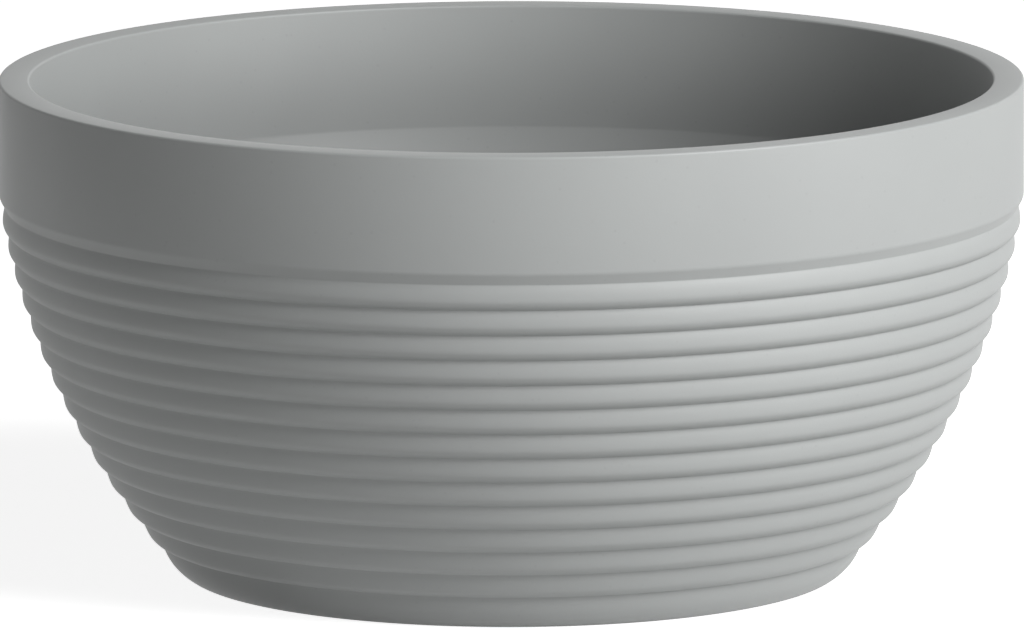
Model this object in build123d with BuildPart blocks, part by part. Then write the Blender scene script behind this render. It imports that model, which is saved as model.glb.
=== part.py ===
from build123d import *

import os
from math import sqrt

# Shallow round bowl planter: a thick moulded bowl with a plain collar and level ribs,
# and four soft plugs that pull up out of the drain holes in its floor.
# Millimetres. The origin is the centre of the foot on the ground, and +Z points up.

# Bowl, outside
outer_diameter = 400.0
bowl_height = 195.0
foot_diameter = 254.0
side_arc_radius = 279.0
collar_height = 45.5
collar_flank = 4.3
rim_edge_radius = 0.8
collar_edge_radius = 1.0
foot_edge_radius = 2.0

# Ribs round the side, with a groove above each
rib_count = 13
lowest_groove = 13.5
groove_inset = 1.8
rib_height = 2.4
rib_upper_flank = 2.0
rib_lower_flank = 2.6
rib_shoulder_radius = 2.0

# Bowl, inside and underneath
wall = 12.0
inner_collar_depth = 49.0
floor_thickness = 12.0
floor_corner_radius = 18.0
foot_recess_depth = 4.0
foot_ring_width = 14.0
recess_taper = 2.0

# Drain holes, each with a shallow seat for its plug
drain_count = 4
drain_circle_diameter = 124.0
drain_diameter = 16.0
seat_depth = 1.2

# Drain plugs
flange_diameter = 26.0
flange_thickness = 3.0
flange_edge_radius = 1.0
stem_diameter = 15.0
stem_taper = 0.6
stem_setback = 1.0
stem_edge_radius = 1.2
bead_width = 1.8
bead_spacing = 3.4
bead_count = 2
grip_width = 15.0
grip_height = 11.0
grip_thickness = 4.4
grip_corner_radius = 5.0
grip_groove_diameter = 1.6
grip_groove_depth = 0.5
grip_groove_spacing = 2.6
grip_groove_count = 3

# Clearances of a plug, on the radius
seat_clearance = 0.5
bead_clearance = 0.08

# Levels and radii that follow from the sizes above
outer_radius = outer_diameter / 2
inner_radius = outer_radius - wall
foot_radius = foot_diameter / 2
collar_bottom = bowl_height - collar_height
first_groove = collar_bottom - collar_flank
rib_pitch = (first_groove - lowest_groove) / rib_count
crease_height = bowl_height - inner_collar_depth
floor_top = foot_recess_depth + floor_thickness
seat_level = floor_top - seat_depth
flange_top = seat_level + flange_thickness
stem_bottom = foot_recess_depth + stem_setback

# The side curve is one arc from the collar's lower edge down to the foot
side_run = Vector(foot_radius - outer_radius, -collar_bottom)
side_middle = Vector(outer_radius + foot_radius, collar_bottom) / 2
side_normal = Vector(side_run.Y, -side_run.X).normalized()
side_centre = side_middle + side_normal * sqrt(side_arc_radius**2 - (side_run.length / 2) ** 2)


def side_radius(height, inset=0.0):
    """Radius of the side curve at a height, or of the same curve set in by a wall."""
    return side_centre.X + sqrt((side_arc_radius - inset) ** 2 - (height - side_centre.Y) ** 2)


def rib_shoulder(start, end, along):
    """A corner of a rib that lies along its chord by a distance, and out by the rib's height."""
    run = (Vector(end) - Vector(start)).normalized()
    return Vector(start) + run * along + Vector(-run.Y, run.X) * rib_height


def nearest(shapes, x, y):
    """The corner of a sketch that lies at a point."""
    return shapes.sort_by_distance((x, y))[0]


foot_corner = (foot_radius, 0)
groove_heights = [first_groove - number * rib_pitch for number in range(rib_count + 1)]
grooves = [(side_radius(height) - groove_inset, height) for height in groove_heights]

# Each rib rises from its groove to a flat face with two round shoulders; the last one runs into the foot
rib_side = []
shoulders = []
for upper, lower in zip(grooves, grooves[1:]):
    chord = (Vector(lower) - Vector(upper)).length
    upper_shoulder = rib_shoulder(upper, lower, rib_upper_flank)
    lower_shoulder = rib_shoulder(upper, lower, chord - rib_lower_flank)
    rib_side += [upper, upper_shoulder, lower_shoulder]
    shoulders += [upper_shoulder, lower_shoulder]
last_shoulder = rib_shoulder(grooves[-1], foot_corner, rib_upper_flank)
rib_side += [grooves[-1], last_shoulder]
shoulders += [last_shoulder]

ring_inner_corner = (foot_radius - foot_ring_width, 0)
recess_corner = (foot_radius - foot_ring_width - recess_taper, foot_recess_depth)
floor_corner = (side_radius(floor_top, wall), floor_top)
crease = (inner_radius, crease_height)
drain_places = PolarLocations(drain_circle_diameter / 2, drain_count).locations

os.makedirs("parts", exist_ok=True)

# Bowl: one revolved wall section, its outside a chain of ribs that follows the side curve
with BuildPart() as bowl_shell:
    with BuildSketch(Plane.XZ) as wall_section:
        with BuildLine():
            Polyline(crease, (inner_radius, bowl_height), (outer_radius, bowl_height),
                     (outer_radius, collar_bottom), *rib_side, foot_corner)
            Polyline(foot_corner, ring_inner_corner, recess_corner, (0, foot_recess_depth))
            Polyline((0, foot_recess_depth), (0, floor_top), floor_corner)
            RadiusArc(floor_corner, crease, -(side_arc_radius - wall))
        make_face()
        fillet(wall_section.vertices().group_by(Axis.Y)[-1], rim_edge_radius)
        fillet(nearest(wall_section.vertices(), outer_radius, collar_bottom), collar_edge_radius)
        fillet(nearest(wall_section.vertices(), *foot_corner), foot_edge_radius)
        fillet(nearest(wall_section.vertices(), *floor_corner), floor_corner_radius)
        fillet([nearest(wall_section.vertices(), place.X, place.Y) for place in shoulders], rib_shoulder_radius)
    revolve(axis=Axis.Z)
    with Locations([place * Location((0, 0, floor_top)) for place in drain_places]):
        CounterBoreHole(drain_diameter / 2, flange_diameter / 2 + seat_clearance, seat_depth)
bowl_shell.part.label = "bowl_shell"
export_step(bowl_shell.part, "parts/bowl_shell.step")


def stem_radius(height):
    """Radius of the plug's tapered stem between its sealing beads."""
    return stem_diameter / 2 - stem_taper * (seat_level - height) / (seat_level - stem_bottom)


# Drain plug, on the bowl's axis: a flange, a tapered stem with sealing beads and a grip to pull
bead_radius = drain_diameter / 2 - bead_clearance
bead_heights = [seat_level - (number + 1) * bead_spacing + bead_width / 2 for number in range(bead_count)]
with BuildPart() as drain_plug:
    with BuildSketch(Plane.XZ) as plug_section:
        with BuildLine():
            stem_start = (stem_radius(seat_level), seat_level)
            Polyline((0, flange_top), (flange_diameter / 2, flange_top),
                     (flange_diameter / 2, seat_level), stem_start)
            for height in bead_heights:
                above, below = height + bead_width / 2, height - bead_width / 2
                Line(stem_start, (stem_radius(above), above))
                ThreePointArc((stem_radius(above), above), (bead_radius, height), (stem_radius(below), below))
                stem_start = (stem_radius(below), below)
            Polyline(stem_start, (stem_radius(stem_bottom), stem_bottom), (0, stem_bottom), (0, flange_top))
        make_face()
        fillet(nearest(plug_section.vertices(), flange_diameter / 2, flange_top), flange_edge_radius)
        fillet(nearest(plug_section.vertices(), stem_radius(stem_bottom), stem_bottom), stem_edge_radius)
    revolve(axis=Axis.Z)
    with BuildSketch(Plane.XZ) as grip_face:
        with Locations((0, flange_top + grip_height / 2)):
            Rectangle(grip_width, grip_height)
        fillet(grip_face.vertices().group_by(Axis.Y)[-1], grip_corner_radius)
    extrude(amount=grip_thickness / 2, both=True)
    with BuildSketch(Plane.YZ):
        groove_offset = (grip_thickness + grip_groove_diameter) / 2 - grip_groove_depth
        with Locations((0, flange_top + grip_height / 2)):
            with GridLocations(2 * groove_offset, grip_groove_spacing, 2, grip_groove_count):
                Circle(grip_groove_diameter / 2)
    extrude(amount=grip_width, both=True, mode=Mode.SUBTRACT)

for number, place in enumerate(drain_places, start=1):
    with BuildPart() as placed_plug:
        with Locations(place):
            add(drain_plug.part)
    placed_plug.part.label = f"drain_plug_{number}"
    export_step(placed_plug.part, f"parts/drain_plug_{number}.step")
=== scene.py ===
from math import atan2, cos, pi, radians, sin, sqrt

import bpy
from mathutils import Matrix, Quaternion, Vector


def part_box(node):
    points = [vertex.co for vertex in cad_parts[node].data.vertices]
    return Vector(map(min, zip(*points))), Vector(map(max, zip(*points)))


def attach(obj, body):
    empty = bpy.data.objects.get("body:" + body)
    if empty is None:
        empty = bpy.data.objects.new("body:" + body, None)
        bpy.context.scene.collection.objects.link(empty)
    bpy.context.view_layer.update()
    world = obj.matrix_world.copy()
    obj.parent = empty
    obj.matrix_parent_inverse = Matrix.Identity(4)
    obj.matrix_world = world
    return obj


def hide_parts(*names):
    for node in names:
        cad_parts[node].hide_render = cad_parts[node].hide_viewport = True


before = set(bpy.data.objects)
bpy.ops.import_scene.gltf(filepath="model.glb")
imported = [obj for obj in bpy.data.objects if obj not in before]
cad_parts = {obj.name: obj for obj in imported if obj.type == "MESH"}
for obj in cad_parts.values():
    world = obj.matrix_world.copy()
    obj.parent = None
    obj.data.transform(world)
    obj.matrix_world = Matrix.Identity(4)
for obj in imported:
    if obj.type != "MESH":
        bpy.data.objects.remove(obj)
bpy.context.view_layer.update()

shellLow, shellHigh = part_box("bowl_shell")
mm = 0.001
mergeGap = 0.002 * mm
smoothAngle = radians(32)
scene = bpy.context.scene
print("frame loaded")


# Helpers shared by the bowl and the plugs

def clearSelection():
    if bpy.context.object and bpy.context.object.mode != "OBJECT":
        bpy.ops.object.mode_set(mode="OBJECT")
    bpy.ops.object.select_all(action="DESELECT")


def makeActive(piece):
    clearSelection()
    piece.select_set(True)
    bpy.context.view_layer.objects.active = piece


def selectPart(piece, kind, test):
    # picks vertices by their place, or edges by their middle, and leaves the piece in edit mode
    bpy.ops.object.mode_set(mode="EDIT")
    bpy.ops.mesh.select_mode(type={"vertices": "VERT", "edges": "EDGE"}[kind])
    bpy.ops.mesh.select_all(action="DESELECT")
    bpy.ops.object.mode_set(mode="OBJECT")
    mesh = piece.data
    for item in getattr(mesh, kind):
        if kind == "vertices":
            item.select = test(item.co)
        else:
            ends = [mesh.vertices[index].co for index in item.vertices]
            item.select = test((ends[0] + ends[1]) / 2)
    bpy.ops.object.mode_set(mode="EDIT")


def arcAbout(centre, start, end, steps):
    # points of an arc after its start, taken the short way round
    first = atan2(start[1] - centre[1], start[0] - centre[0])
    turn = atan2(end[1] - centre[1], end[0] - centre[0]) - first
    turn = (turn + pi) % (2 * pi) - pi
    reach = sqrt((start[0] - centre[0]) ** 2 + (start[1] - centre[1]) ** 2)
    angles = [first + turn * step / steps for step in range(1, steps + 1)]
    return [(centre[0] + reach * cos(angle), centre[1] + reach * sin(angle)) for angle in angles]


def bulgedArc(start, end, bulge, steps):
    # an arc between two points that stands out by its bulge, to the left of its run
    run = Vector((end[0] - start[0], end[1] - start[1]))
    radius = (run.length ** 2 / 4 + bulge ** 2) / (2 * bulge)
    outward = Vector((-run.y, run.x)).normalized()
    centre = Vector((start[0], start[1])) + run / 2 - outward * (radius - bulge)
    return arcAbout(centre, start, end, steps)


def drawSection(name, points):
    # pulls one vertex from point to point in the XZ plane
    clearSelection()
    bpy.ops.mesh.primitive_plane_add(size=mm, location=(0, 0, 0))
    piece = bpy.context.object
    piece.name = piece.data.name = name
    bpy.ops.object.mode_set(mode="EDIT")
    bpy.ops.mesh.select_mode(type="VERT")
    bpy.ops.mesh.select_all(action="SELECT")
    bpy.ops.mesh.merge(type="CENTER")
    bpy.ops.transform.translate(value=(points[0][0], 0, points[0][1]))
    for here, there in zip(points, points[1:]):
        step = (there[0] - here[0], 0, there[1] - here[1])
        bpy.ops.mesh.extrude_vertices_move(TRANSFORM_OT_translate={"value": step})
    return piece


def roundCorners(piece, corners, radius, segments):
    near = 0.01 * mm
    selectPart(piece, "vertices", lambda place: any(
        abs(place.x - x) < near and abs(place.z - z) < near for x, z in corners))
    bpy.ops.mesh.bevel(offset=radius, segments=segments, affect="VERTICES")


def turnSection(piece, steps):
    # lathes the section round the Z axis and closes it
    bpy.ops.mesh.select_all(action="SELECT")
    bpy.ops.mesh.spin(steps=steps, angle=2 * pi, center=(0, 0, 0), axis=(0, 0, 1))
    bpy.ops.mesh.select_all(action="SELECT")
    bpy.ops.mesh.remove_doubles(threshold=mergeGap)
    bpy.ops.mesh.normals_make_consistent(inside=False)
    bpy.ops.object.mode_set(mode="OBJECT")


def combine(piece, other, operation):
    # adds or cuts another piece and throws that one away
    makeActive(piece)
    bpy.ops.object.modifier_add(type="BOOLEAN")
    joiner = piece.modifiers[-1]
    joiner.operation = operation
    joiner.solver = "EXACT"
    joiner.object = other
    bpy.ops.object.modifier_apply(modifier=joiner.name)
    bpy.data.objects.remove(other)


def copyTo(piece, name, shift):
    twin = piece.copy()
    twin.data = piece.data.copy()
    twin.name = twin.data.name = name
    bpy.context.collection.objects.link(twin)
    makeActive(twin)
    bpy.ops.object.mode_set(mode="EDIT")
    bpy.ops.mesh.select_all(action="SELECT")
    bpy.ops.transform.translate(value=shift)
    bpy.ops.object.mode_set(mode="OBJECT")
    return twin


# Camera: low and far off, in front of the bowl

camera = {
    "lens": 719.6,
    "distance": 8.0,
    "elevation": radians(9.45),
    "roll": radians(-0.1),
    "aim": Vector((0.13, 0, 101.3)) * mm,
}

aim = camera["aim"]
sightLine = Vector((0, -cos(camera["elevation"]), sin(camera["elevation"])))
clearSelection()
bpy.ops.object.camera_add(location=aim + sightLine * camera["distance"])
viewer = bpy.context.object
viewer.name = "photoCamera"
viewer.rotation_mode = "QUATERNION"
viewer.rotation_quaternion = Quaternion(sightLine, camera["roll"]) @ sightLine.to_track_quat("Z", "Y")
viewer.data.lens = camera["lens"]
viewer.data.sensor_width = 36
viewer.data.clip_end = 200
scene.camera = viewer
print("camera placed")


# Materials

def addNode(tree, kind, place, **settings):
    node = tree.nodes.new(kind)
    node.location = place
    for name, value in settings.items():
        setattr(node, name, value)
    return node


def grainAndPaintedShadeMaskGroup():
    # fine grain of a moulded skin, a slow cloudiness for its colour, and a mask of the inside wall that
    # carries painted shade
    group = bpy.data.node_groups.new("grainAndPaintedShadeMask", "ShaderNodeTree")
    sockets = group.interface
    for name in ("Place", "Wall Centre"):
        sockets.new_socket(name=name, in_out="INPUT", socket_type="NodeSocketVector")
    for name in ("Grain Scale", "Cloud Scale", "Speck Scale", "Wall Reach"):
        sockets.new_socket(name=name, in_out="INPUT", socket_type="NodeSocketFloat")
    for name in ("Grain", "Cloud", "Speck", "Height", "Inside"):
        sockets.new_socket(name=name, in_out="OUTPUT", socket_type="NodeSocketFloat")
    start = addNode(group, "NodeGroupInput", (-600, 0))
    end = addNode(group, "NodeGroupOutput", (500, 0))
    join = group.links.new

    grain = addNode(group, "ShaderNodeTexNoise", (-300, 300))
    grain.inputs["Detail"].default_value = 4
    grain.inputs["Roughness"].default_value = 0.6
    cloud = addNode(group, "ShaderNodeTexNoise", (-300, 0))
    cloud.inputs["Detail"].default_value = 3
    cloud.inputs["Roughness"].default_value = 0.5
    cloudRange = addNode(group, "ShaderNodeMapRange", (0, 0), interpolation_type="SMOOTHSTEP")
    cloudRange.inputs["From Min"].default_value = 0.3
    cloudRange.inputs["From Max"].default_value = 0.7
    speck = addNode(group, "ShaderNodeTexVoronoi", (-300, -300))
    speckRange = addNode(group, "ShaderNodeMapRange", (0, -300))
    speckRange.inputs["From Min"].default_value = 0.12
    speckRange.inputs["From Max"].default_value = 0.05

    # the wall follows one arc, and what lies nearer to the arc's centre than its middle is inside; this
    # inside mask places the painted shade
    split = addNode(group, "ShaderNodeSeparateXYZ", (-600, -550))
    flat = addNode(group, "ShaderNodeCombineXYZ", (-450, -650))
    away = addNode(group, "ShaderNodeVectorMath", (-300, -650), operation="LENGTH")
    turned = addNode(group, "ShaderNodeCombineXYZ", (-150, -550))
    reach = addNode(group, "ShaderNodeVectorMath", (0, -550), operation="DISTANCE")
    inside = addNode(group, "ShaderNodeMath", (150, -550), operation="LESS_THAN")
    raised = addNode(group, "ShaderNodeMath", (150, -750), operation="GREATER_THAN")
    raised.inputs[1].default_value = 10 * mm
    both = addNode(group, "ShaderNodeMath", (300, -550), operation="MULTIPLY")
    join(start.outputs["Place"], split.inputs["Vector"])
    join(split.outputs["X"], flat.inputs["X"])
    join(split.outputs["Y"], flat.inputs["Y"])
    join(flat.outputs["Vector"], away.inputs[0])
    join(away.outputs["Value"], turned.inputs["X"])
    join(split.outputs["Z"], turned.inputs["Z"])
    join(turned.outputs["Vector"], reach.inputs[0])
    join(start.outputs["Wall Centre"], reach.inputs[1])
    join(reach.outputs["Value"], inside.inputs[0])
    join(start.outputs["Wall Reach"], inside.inputs[1])
    join(split.outputs["Z"], raised.inputs[0])
    join(inside.outputs["Value"], both.inputs[0])
    join(raised.outputs["Value"], both.inputs[1])
    join(split.outputs["Z"], end.inputs["Height"])
    join(both.outputs["Value"], end.inputs["Inside"])

    for texture, scale in ((grain, "Grain Scale"), (cloud, "Cloud Scale"), (speck, "Speck Scale")):
        join(start.outputs["Place"], texture.inputs["Vector"])
        join(start.outputs[scale], texture.inputs["Scale"])
    join(grain.outputs["Fac"], end.inputs["Grain"])
    join(cloud.outputs["Fac"], cloudRange.inputs["Value"])
    join(cloudRange.outputs["Result"], end.inputs["Cloud"])
    join(speck.outputs["Distance"], speckRange.inputs["Value"])
    join(speckRange.outputs["Result"], end.inputs["Speck"])
    return group


grainAndPaintedShadeMask = grainAndPaintedShadeMaskGroup()


def mouldedFinish(name, look):
    # matt moulded skin: clouded colour, painted shade that darkens the inside wall with depth, uneven
    # gloss and a faint grain
    finish = bpy.data.materials.new(name)
    finish.use_nodes = True
    tree = finish.node_tree
    join = tree.links.new
    shader = tree.nodes["Principled BSDF"]
    shader.inputs["Specular IOR Level"].default_value = look["specular"]
    place = addNode(tree, "ShaderNodeTexCoord", (-1200, 0))
    effect = addNode(tree, "ShaderNodeGroup", (-950, 0), node_tree=grainAndPaintedShadeMask)
    effect.inputs["Grain Scale"].default_value = look["grainScale"]
    effect.inputs["Cloud Scale"].default_value = look["cloudScale"]
    effect.inputs["Speck Scale"].default_value = look["speckScale"]
    effect.inputs["Wall Centre"].default_value = look["wallCentre"]
    effect.inputs["Wall Reach"].default_value = look["wallReach"]
    clouded = addNode(tree, "ShaderNodeMix", (-650, 250), data_type="RGBA")
    clouded.inputs["A"].default_value = (*look["darkColour"], 1)
    clouded.inputs["B"].default_value = (*look["paleColour"], 1)
    specked = addNode(tree, "ShaderNodeMix", (-400, 250), data_type="RGBA")
    specked.inputs["B"].default_value = (*look["speckColour"], 1)
    speckShare = addNode(tree, "ShaderNodeMath", (-650, -50), operation="MULTIPLY")
    speckShare.inputs[1].default_value = look["speckShare"]
    # painted shade: the colour of the inside wall is darkened more the deeper it lies, standing in for the
    # shade down inside the bowl
    deep = addNode(tree, "ShaderNodeMapRange", (-650, 500), interpolation_type="SMOOTHSTEP")
    deep.inputs["From Min"].default_value = look["paintedShadeFrom"]
    deep.inputs["From Max"].default_value = look["paintedShadeTo"]
    deep.inputs["To Max"].default_value = look["paintedShadeDepth"]
    inner = addNode(tree, "ShaderNodeMath", (-400, 500), operation="MULTIPLY")
    shaded = addNode(tree, "ShaderNodeHueSaturation", (-200, 250))
    dimmed = addNode(tree, "ShaderNodeMath", (-200, 500), operation="SUBTRACT")
    dimmed.inputs[0].default_value = 1
    gloss = addNode(tree, "ShaderNodeMapRange", (-400, -50))
    gloss.inputs["To Min"].default_value = look["roughness"][0]
    gloss.inputs["To Max"].default_value = look["roughness"][1]
    bump = addNode(tree, "ShaderNodeBump", (-400, -350))
    bump.inputs["Strength"].default_value = look["bumpStrength"]
    bump.inputs["Distance"].default_value = look["bumpDepth"]

    join(place.outputs["Object"], effect.inputs["Place"])
    join(effect.outputs["Cloud"], clouded.inputs["Factor"])
    join(clouded.outputs["Result"], specked.inputs["A"])
    join(effect.outputs["Speck"], speckShare.inputs[0])
    join(speckShare.outputs["Value"], specked.inputs["Factor"])
    join(effect.outputs["Height"], deep.inputs["Value"])
    join(deep.outputs["Result"], inner.inputs[0])
    join(effect.outputs["Inside"], inner.inputs[1])
    join(inner.outputs["Value"], dimmed.inputs[1])
    join(dimmed.outputs["Value"], shaded.inputs["Value"])
    join(specked.outputs["Result"], shaded.inputs["Color"])
    join(shaded.outputs["Color"], shader.inputs["Base Color"])
    join(effect.outputs["Cloud"], gloss.inputs["Value"])
    join(gloss.outputs["Result"], shader.inputs["Roughness"])
    join(effect.outputs["Grain"], bump.inputs["Height"])
    join(bump.outputs["Normal"], shader.inputs["Normal"])
    return finish


greyPlastic = mouldedFinish("greyPlastic", {
    "darkColour": (0.338, 0.349, 0.346),
    "paleColour": (0.354, 0.366, 0.362),
    "speckColour": (0.296, 0.306, 0.302),
    "speckShare": 0.35,
    "roughness": (0.47, 0.55),
    "specular": 0.5,
    "grainScale": 900,
    "cloudScale": 9,
    "speckScale": 160,
    "bumpStrength": 0.18,
    "bumpDepth": 0.12 * mm,
    "wallCentre": (-75.8 * mm, 0, 191.8 * mm),
    "wallReach": 273 * mm,
    # painted shade: the inside wall's colour darkens by up to 27% from this height down to the next
    "paintedShadeFrom": 194 * mm,
    "paintedShadeTo": 145 * mm,
    "paintedShadeDepth": 0.27,
})

darkRubber = mouldedFinish("darkRubber", {
    "darkColour": (0.052, 0.052, 0.054),
    "paleColour": (0.070, 0.070, 0.072),
    "speckColour": (0.11, 0.11, 0.11),
    "speckShare": 0.3,
    "roughness": (0.58, 0.72),
    "specular": 0.4,
    "grainScale": 1600,
    "cloudScale": 60,
    "speckScale": 500,
    "bumpStrength": 0.3,
    "bumpDepth": 0.1 * mm,
    "wallCentre": (0, 0, 0),
    "wallReach": 0,
    "paintedShadeFrom": 30 * mm,
    "paintedShadeTo": 10 * mm,
    "paintedShadeDepth": 0,
})
print("materials made")


# Bowl: one section turned on the lathe, then drilled for its drains

bowl = {
    "outerRadius": shellHigh.x,
    "height": shellHigh.z,
    "footRadius": 127 * mm,
    "sideArcRadius": 279 * mm,
    "collarHeight": 45.5 * mm,
    "collarFlank": 4.3 * mm,
    "ribCount": 13,
    "lowestGroove": 13.5 * mm,
    "grooveInset": 1.7 * mm,
    "ribCrown": (0.42, 2.2 * mm),
    "ribLowerBulge": 0.6 * mm,
    "ribUpperBulge": 0.3 * mm,
    "footRibBulge": 2.0 * mm,
    "wall": 12 * mm,
    "innerCollarDepth": 49 * mm,
    "floorTop": 16 * mm,
    "floorCornerRadius": 18 * mm,
    "recessDepth": 4 * mm,
    "footRingWidth": 14 * mm,
    "recessTaper": 2 * mm,
    "crownRounding": (0.5 * mm, 2),
    "grooveRounding": (0.35 * mm, 3),
    "collarRounding": (0.9 * mm, 3),
    "rimRounding": (1.0 * mm, 4),
    "cornerRounding": (0.6 * mm, 3),
    "footRibSteps": 12,
    "ribLowerSteps": 7,
    "ribUpperSteps": 5,
    "insideSteps": 28,
    "floorCornerSteps": 10,
    "turnSteps": 256,
}

drain = {
    "count": 4,
    "circleRadius": 62 * mm,
    "radius": 8 * mm,
    "seatRadius": 13.5 * mm,
    "seatDepth": 1.2 * mm,
    "chamfer": 0.4 * mm,
    "overshoot": 2 * mm,
    "turnSteps": 64,
}

outerRadius, bowlHeight = bowl["outerRadius"], bowl["height"]
innerRadius = outerRadius - bowl["wall"]
footRadius = bowl["footRadius"]
collarBottom = bowlHeight - bowl["collarHeight"]
creaseHeight = bowlHeight - bowl["innerCollarDepth"]
floorTop = bowl["floorTop"]

# the side curve is one arc from the collar's lower edge down to the foot
sideRun = Vector((footRadius - outerRadius, -collarBottom))
sideMiddle = Vector((outerRadius + footRadius, collarBottom)) / 2
sideReach = sqrt(bowl["sideArcRadius"] ** 2 - (sideRun.length / 2) ** 2)
sideCentre = sideMiddle + Vector((sideRun.y, -sideRun.x)).normalized() * sideReach


def sidePoint(height):
    away = sqrt(bowl["sideArcRadius"] ** 2 - (height - sideCentre.y) ** 2)
    return sideCentre.x + away, height


def groovePoint(height):
    away, height = sidePoint(height)
    return away - bowl["grooveInset"], height


def ribCrown(lower, upper):
    # the point where a rib stands out furthest, nearer to its lower groove
    share, out = bowl["ribCrown"]
    run = Vector(upper) - Vector(lower)
    outward = Vector((run.y, -run.x)).normalized()
    return tuple(Vector(lower) + run * share + outward * out)


firstGroove = collarBottom - bowl["collarFlank"]
ribPitch = (firstGroove - bowl["lowestGroove"]) / bowl["ribCount"]
grooves = [groovePoint(firstGroove - number * ribPitch) for number in range(bowl["ribCount"] + 1)]
footCorner = (footRadius, 0)
ringInnerCorner = (footRadius - bowl["footRingWidth"], 0)
recessCorner = (ringInnerCorner[0] - bowl["recessTaper"], bowl["recessDepth"])
crease = (innerRadius, creaseHeight)

# the inside arc is one wall in from the outside one and runs into the floor by a wide fillet
insideRadius = bowl["sideArcRadius"] - bowl["wall"]
filletHeight = floorTop + bowl["floorCornerRadius"]
filletReach = insideRadius - bowl["floorCornerRadius"]
filletAway = sqrt(filletReach ** 2 - (filletHeight - sideCentre.y) ** 2)
filletCentre = Vector((sideCentre.x + filletAway, filletHeight))
filletEnd = sideCentre + (filletCentre - sideCentre) * insideRadius / filletReach
filletStart = (filletCentre.x, floorTop)

# each rib is a round lower arc and a flatter upper one; the last rib runs into the foot in one arc
crowns = []
ribSide = bulgedArc(footCorner, grooves[-1], -bowl["footRibBulge"], bowl["footRibSteps"])
for lower, upper in zip(grooves[:0:-1], grooves[-2::-1]):
    crown = ribCrown(lower, upper)
    crowns.append(crown)
    ribSide += bulgedArc(lower, crown, -bowl["ribLowerBulge"], bowl["ribLowerSteps"])
    ribSide += bulgedArc(crown, upper, -bowl["ribUpperBulge"], bowl["ribUpperSteps"])

section = [(0, bowl["recessDepth"]), recessCorner, ringInnerCorner, footCorner] + ribSide
section += [(outerRadius, collarBottom), (outerRadius, bowlHeight), (innerRadius, bowlHeight), crease]
insideRun = (Vector(filletEnd) - Vector(crease)).length
insideBulge = insideRadius - sqrt(insideRadius ** 2 - insideRun ** 2 / 4)
section += bulgedArc(crease, filletEnd, insideBulge, bowl["insideSteps"])
section += arcAbout(filletCentre, filletEnd, filletStart, bowl["floorCornerSteps"])
section += [(0, floorTop)]

bowlShell = drawSection("bowlShell", section)
roundCorners(bowlShell, crowns, *bowl["crownRounding"])
roundCorners(bowlShell, grooves, *bowl["grooveRounding"])
roundCorners(bowlShell, [(outerRadius, collarBottom)], *bowl["collarRounding"])
roundCorners(bowlShell, [(outerRadius, bowlHeight), (innerRadius, bowlHeight)], *bowl["rimRounding"])
roundCorners(bowlShell, [crease, recessCorner, ringInnerCorner, footCorner], *bowl["cornerRounding"])
turnSection(bowlShell, bowl["turnSteps"])
print("bowl turned")

# one stepped cutter for the drains: the hole, its seat and their softened edges
seatLevel = floorTop - drain["seatDepth"]
chamfer = drain["chamfer"]
overshoot = drain["overshoot"]
below = bowl["recessDepth"] - overshoot
above = floorTop + overshoot
cutterSection = [
    (0, below),
    (drain["radius"] + chamfer + overshoot, below),
    (drain["radius"], bowl["recessDepth"] + chamfer),
    (drain["radius"], seatLevel),
    (drain["seatRadius"], seatLevel),
    (drain["seatRadius"], floorTop - chamfer),
    (drain["seatRadius"] + chamfer + overshoot, above),
    (0, above),
]
drainPlaces = [
    Vector((drain["circleRadius"] * cos(turn), drain["circleRadius"] * sin(turn), 0))
    for turn in [2 * pi * number / drain["count"] for number in range(drain["count"])]
]
cutter = drawSection("drainCutter", cutterSection)
turnSection(cutter, drain["turnSteps"])
for place in drainPlaces:
    combine(bowlShell, copyTo(cutter, "placedCutter", place), "DIFFERENCE")
bpy.data.objects.remove(cutter)

makeActive(bowlShell)
bpy.ops.object.shade_smooth_by_angle(angle=smoothAngle)
bowlShell.data.materials.clear()
bowlShell.data.materials.append(greyPlastic)
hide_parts("bowl_shell")
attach(bowlShell, "bowl")
print("bowl drilled and finished")


# Drain plug: a turned flange and stem with sealing beads, and a fin to pull it by

plug = {
    "flangeRadius": 13 * mm,
    "flangeThickness": 3 * mm,
    "stemRadius": 7.5 * mm,
    "stemTaper": 0.6 * mm,
    "stemBottom": 5 * mm,
    "beadReach": 7.92 * mm,
    "beadWidth": 1.8 * mm,
    "beadSpacing": 3.4 * mm,
    "beadCount": 2,
    "gripWidth": 15 * mm,
    "gripHeight": 11 * mm,
    "gripThickness": 4.4 * mm,
    "gripCornerRadius": 5 * mm,
    "gripSink": 1.5 * mm,
    "gripEdgeRounding": 0.7 * mm,
    "stemRounding": (1.2 * mm, 5),
    "flangeRounding": (1.0 * mm, 5),
    "seatRounding": (0.3 * mm, 2),
    "grooveRadius": 0.8 * mm,
    "grooveDepth": 0.5 * mm,
    "grooveSpacing": 2.6 * mm,
    "grooveCount": 3,
    "turnSteps": 72,
}

flangeTop = seatLevel + plug["flangeThickness"]


def stemRadius(height):
    return plug["stemRadius"] - plug["stemTaper"] * (seatLevel - height) / (seatLevel - plug["stemBottom"])


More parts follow.
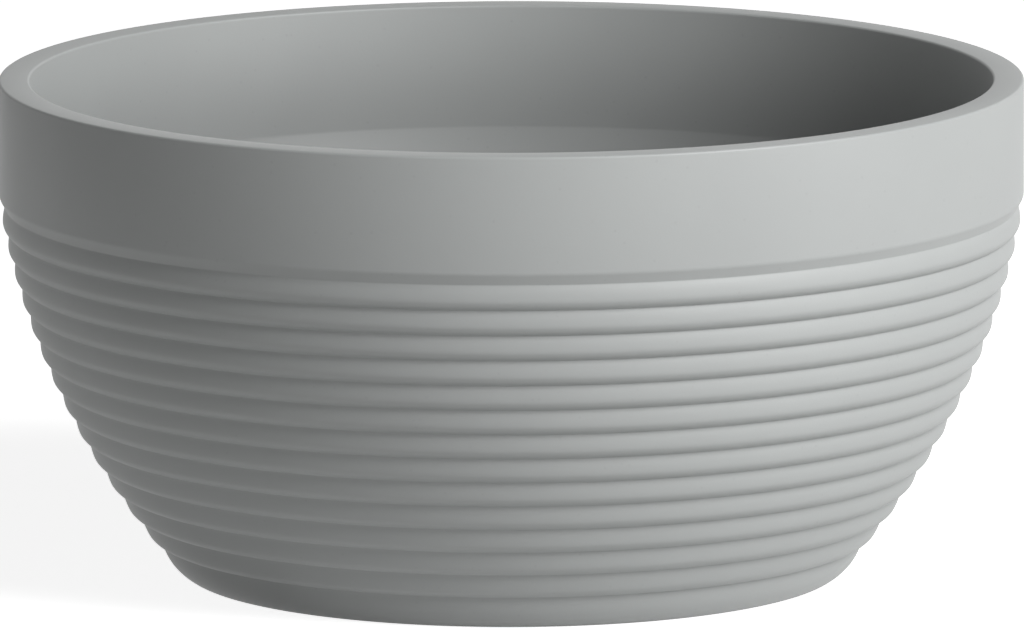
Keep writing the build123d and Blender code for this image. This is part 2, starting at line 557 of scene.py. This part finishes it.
beadHeights = [
    seatLevel - (number + 1) * plug["beadSpacing"] + plug["beadWidth"] / 2
    for number in range(plug["beadCount"])
]
plugSection = [(0, plug["stemBottom"]), (stemRadius(plug["stemBottom"]), plug["stemBottom"])]
for height in reversed(beadHeights):
    lower, upper = height - plug["beadWidth"] / 2, height + plug["beadWidth"] / 2
    start, end = (stemRadius(lower), lower), (stemRadius(upper), upper)
    bulge = plug["beadReach"] - (start[0] + end[0]) / 2
    plugSection += [start] + bulgedArc(start, end, -bulge, 8)
plugSection += [
    (stemRadius(seatLevel), seatLevel),
    (plug["flangeRadius"], seatLevel),
    (plug["flangeRadius"], flangeTop),
    (0, flangeTop),
]
plugBody = drawSection("drainPlug", plugSection)
roundCorners(plugBody, [plugSection[1]], *plug["stemRounding"])
roundCorners(plugBody, [(plug["flangeRadius"], flangeTop)], *plug["flangeRounding"])
roundCorners(plugBody, [(plug["flangeRadius"], seatLevel)], *plug["seatRounding"])
turnSection(plugBody, plug["turnSteps"])

# the fin starts as a block sunk a little into the flange
gripTop = flangeTop + plug["gripHeight"]
gripTall = plug["gripHeight"] + plug["gripSink"]
clearSelection()
bpy.ops.mesh.primitive_cube_add(size=1, location=(0, 0, gripTop - gripTall / 2))
grip = bpy.context.object
grip.name = "plugGrip"
grip.scale = (plug["gripWidth"], plug["gripThickness"], gripTall)
bpy.ops.object.transform_apply(location=True, rotation=True, scale=True)
selectPart(grip, "edges", lambda middle: middle.z > gripTop - 0.1 * mm and abs(middle.y) < 0.1 * mm)
bpy.ops.mesh.bevel(offset=plug["gripCornerRadius"], segments=10, affect="EDGES")
bpy.ops.object.mode_set(mode="OBJECT")
selectPart(grip, "edges", lambda middle: abs(middle.y) > plug["gripThickness"] / 2 - 0.05 * mm)
bpy.ops.mesh.bevel(offset=plug["gripEdgeRounding"], segments=3, affect="EDGES")
bpy.ops.object.mode_set(mode="OBJECT")

# finger grooves: one thin rod, repeated down the fin and on both of its sides
grooveAway = plug["gripThickness"] / 2 + plug["grooveRadius"] - plug["grooveDepth"]
grooveMiddle = flangeTop + plug["gripHeight"] / 2
clearSelection()
bpy.ops.mesh.primitive_cylinder_add(
    vertices=32, radius=plug["grooveRadius"], depth=2 * plug["gripWidth"],
    location=(0, 0, grooveMiddle), rotation=(0, radians(90), 0))
rod = bpy.context.object
bpy.ops.object.transform_apply(location=True, rotation=True, scale=True)
for side in (-1, 1):
    for number in range(plug["grooveCount"]):
        rise = (number - (plug["grooveCount"] - 1) / 2) * plug["grooveSpacing"]
        combine(grip, copyTo(rod, "placedRod", (0, side * grooveAway, rise)), "DIFFERENCE")
bpy.data.objects.remove(rod)

combine(plugBody, grip, "UNION")
makeActive(plugBody)
bpy.ops.object.shade_smooth_by_angle(angle=smoothAngle)
plugBody.data.materials.clear()
plugBody.data.materials.append(darkRubber)

for number, place in enumerate(drainPlaces, start=1):
    drainPlug = copyTo(plugBody, f"drainPlug{number}", place)
    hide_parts(f"drain_plug_{number}")
    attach(drainPlug, f"plug_{number}")
bpy.data.objects.remove(plugBody)
print("plugs made")


# Studio: a pale floor, a large soft lamp and a low fill from the right, and a surround

studio = {
    "floorSize": 60,
    "floorColour": (0.62, 0.62, 0.62),
    "floorLift": 0.86,
    "surround": 0.51,
    "overhead": 0.02,
    "keyTurn": radians(50),
    "keyElevation": radians(35),
    "lampDistance": 3.0,
    "keySize": 1.6,
    "keyPower": 104,
    "fillTurn": radians(74),
    "fillElevation": radians(5),
    "fillSize": 0.7,
    "fillPower": 9,
}

clearSelection()
bpy.ops.mesh.primitive_plane_add(size=studio["floorSize"], location=(0, 0, 0))
floor = bpy.context.object
floor.name = "studioFloor"
paper = bpy.data.materials.new("floorPaper")
paper.use_nodes = True
tree = paper.node_tree
tree.nodes.clear()
output = addNode(tree, "ShaderNodeOutputMaterial", (600, 0))
matt = addNode(tree, "ShaderNodeBsdfDiffuse", (0, 100))
matt.inputs["Color"].default_value = (*studio["floorColour"], 1)
glow = addNode(tree, "ShaderNodeEmission", (0, -100))
path = addNode(tree, "ShaderNodeLightPath", (-600, -100))
seen = addNode(tree, "ShaderNodeMath", (-400, -100), operation="MAXIMUM")
lift = addNode(tree, "ShaderNodeMath", (-200, -100), operation="MULTIPLY")
lift.inputs[1].default_value = studio["floorLift"]
total = addNode(tree, "ShaderNodeAddShader", (300, 0))
tree.links.new(path.outputs["Is Camera Ray"], seen.inputs[0])
tree.links.new(path.outputs["Is Glossy Ray"], seen.inputs[1])
tree.links.new(seen.outputs["Value"], lift.inputs[0])
tree.links.new(lift.outputs["Value"], glow.inputs["Strength"])
tree.links.new(matt.outputs["BSDF"], total.inputs[0])
tree.links.new(glow.outputs["Emission"], total.inputs[1])
tree.links.new(total.outputs["Shader"], output.inputs["Surface"])
floor.data.materials.append(paper)

world = bpy.data.worlds.new("paleRoom")
scene.world = world
world.use_nodes = True
tree = world.node_tree
background = tree.nodes["Background"]
background.inputs["Color"].default_value = (1, 1, 1, 1)
path = addNode(tree, "ShaderNodeLightPath", (-800, 200))
seen = addNode(tree, "ShaderNodeMath", (-600, 200), operation="MAXIMUM")
way = addNode(tree, "ShaderNodeTexCoord", (-1000, -100))
split = addNode(tree, "ShaderNodeSeparateXYZ", (-800, -100))
height = addNode(tree, "ShaderNodeMapRange", (-600, -100))
height.inputs["From Max"].default_value = 0.5
height.inputs["To Min"].default_value = studio["surround"]
height.inputs["To Max"].default_value = studio["overhead"]
level = addNode(tree, "ShaderNodeMapRange", (-300, 0))
level.inputs["To Max"].default_value = 1
tree.links.new(way.outputs["Generated"], split.inputs["Vector"])
tree.links.new(split.outputs["Z"], height.inputs["Value"])
tree.links.new(height.outputs["Result"], level.inputs["To Min"])
tree.links.new(path.outputs["Is Camera Ray"], seen.inputs[0])
tree.links.new(path.outputs["Is Glossy Ray"], seen.inputs[1])
tree.links.new(seen.outputs["Value"], level.inputs["Value"])
tree.links.new(level.outputs["Result"], background.inputs["Strength"])


def addLamp(name, turn, elevation, size, power):
    # a square soft lamp that faces the bowl from a bearing to the right of the camera
    line = Vector((sin(turn) * cos(elevation), -cos(turn) * cos(elevation), sin(elevation)))
    clearSelection()
    bpy.ops.object.light_add(type="AREA", location=aim + line * studio["lampDistance"])
    lamp = bpy.context.object
    lamp.name = name
    lamp.rotation_euler = line.to_track_quat("Z", "Y").to_euler()
    lamp.data.shape = "SQUARE"
    lamp.data.size = size
    lamp.data.energy = power


addLamp("keyLamp", studio["keyTurn"], studio["keyElevation"], studio["keySize"], studio["keyPower"])
addLamp("fillLamp", studio["fillTurn"], studio["fillElevation"], studio["fillSize"], studio["fillPower"])

scene.view_settings.view_transform = "Standard"
print("studio lit")
